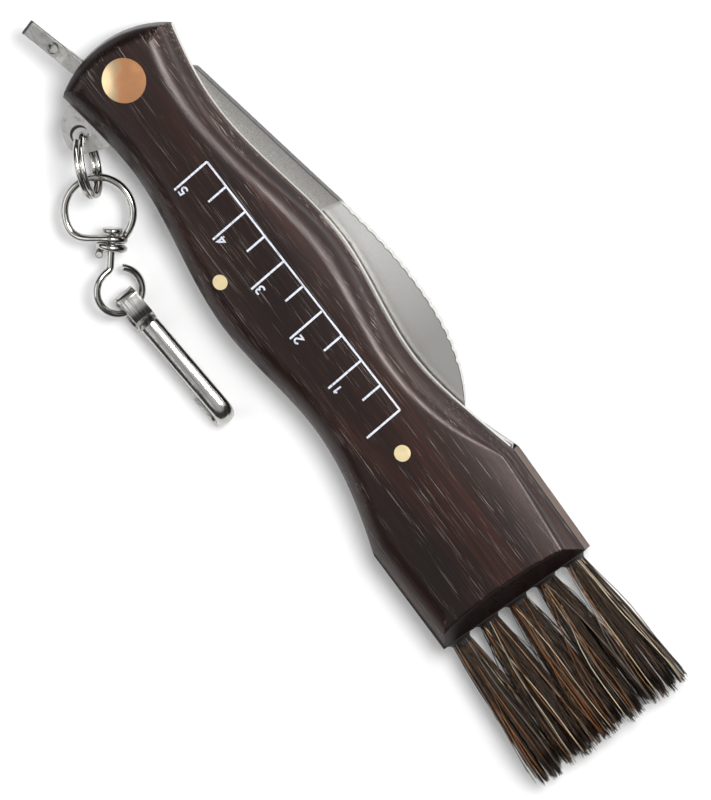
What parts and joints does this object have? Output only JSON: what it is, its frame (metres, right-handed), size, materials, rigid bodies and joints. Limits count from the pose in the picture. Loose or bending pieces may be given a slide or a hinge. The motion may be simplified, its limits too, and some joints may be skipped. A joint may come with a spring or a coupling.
{
  "type": "folding mushroom knife",
  "caption": "Folding mushroom knife with a wooden handle, a curved blade, slide-in tweezers, a bristle brush, a printed ruler and a swivel snap clip.",
  "frame": {"origin": "on the blade's pivot axis, in the plane of the handle's flat back face, on which the knife lies", "axes": "+X from the pivot towards the brush, +Y out of the side that the blade folds into, +Z out of the face with the ruler"},
  "size_m": [0.147, 0.045, 0.0137],
  "materials": {
    "dark_wood": "satin, fine open grain",
    "blade_steel": "satin ground",
    "liner_steel": "polished edges",
    "satin_steel": "satin",
    "bright_nickel": "bright nickel plate",
    "pin_brass": "dressed flush",
    "copper_head": "polished copper",
    "bristle": "natural bristle"
  },
  "bodies": {
    "handle": {"front_scale": "dark_wood", "back_scale": "dark_wood", "front_liner": "liner_steel", "back_liner": "liner_steel", "brush_block": "dark_wood", "back_spring": "liner_steel", "front_washer": "pin_brass", "back_washer": "pin_brass", "pivot_rivet": "copper_head", "pivot_cap": "copper_head", "spring_pin": "pin_brass", "end_pin": "pin_brass", "brush_tuft_1": "bristle", "brush_tuft_2": "bristle", "brush_tuft_3": "bristle", "brush_tuft_4": "bristle", "brush_tuft_5": "bristle"},
    "blade": {"blade": "blade_steel"},
    "tweezers": {"tweezer_front_leg": "satin_steel", "tweezer_back_leg": "satin_steel", "tweezer_rivet": "satin_steel"},
    "split_ring": {"split_ring": "bright_nickel"},
    "swivel_loop": {"swivel_loop": "bright_nickel"},
    "swivel_eye": {"swivel_eye": "bright_nickel"},
    "clip": {"clip_body": "bright_nickel", "clip_rivet": "bright_nickel"},
    "clip_gate": {"clip_gate": "bright_nickel"}
  },
  "joints": [
    {"name": "blade_fold", "type": "hinge", "parent": "handle", "child": "blade", "pos_m": [0, 0, 0.0068], "axis": [0, 0, 1], "range_deg": [0, 180]},
    {"name": "tweezers_slide", "type": "slide", "parent": "handle", "child": "tweezers", "axis": [-0.965, -0.2622, 0], "range_m": [-0.006, 0.04]},
    {"name": "split_ring_swing", "type": "hinge", "parent": "handle", "child": "split_ring", "pos_m": [0.00245, -0.0124, 0.0086], "axis": [0, 0, 1], "range_deg": [-90, 5]},
    {"name": "swivel_loop_slide_round", "type": "hinge", "parent": "split_ring", "child": "swivel_loop", "pos_m": [0.00701, -0.01462, 0.00812], "axis": [-0.4384, -0.8988, 0], "range_deg": [-60, 90]},
    {"name": "swivel_spin", "type": "hinge", "parent": "swivel_loop", "child": "swivel_eye", "pos_m": [0.01787, -0.01877, 0.0056], "axis": [0.7547, -0.6561, 0], "continuous": true},
    {"name": "clip_swing", "type": "hinge", "parent": "swivel_eye", "child": "clip", "pos_m": [0.02967, -0.02426, 0.00335], "axis": [-0.0589, 0.912, -0.4059], "range_deg": [-90, 15]},
    {"name": "clip_gate_press", "type": "hinge", "parent": "clip", "child": "clip_gate", "pos_m": [0.03469, -0.02464, 0.00179], "axis": [0.0589, -0.912, 0.4059], "range_deg": [0, 10], "stiffness_Nm_per_rad": 0.01, "springref_deg": -5.73}
  ]
}
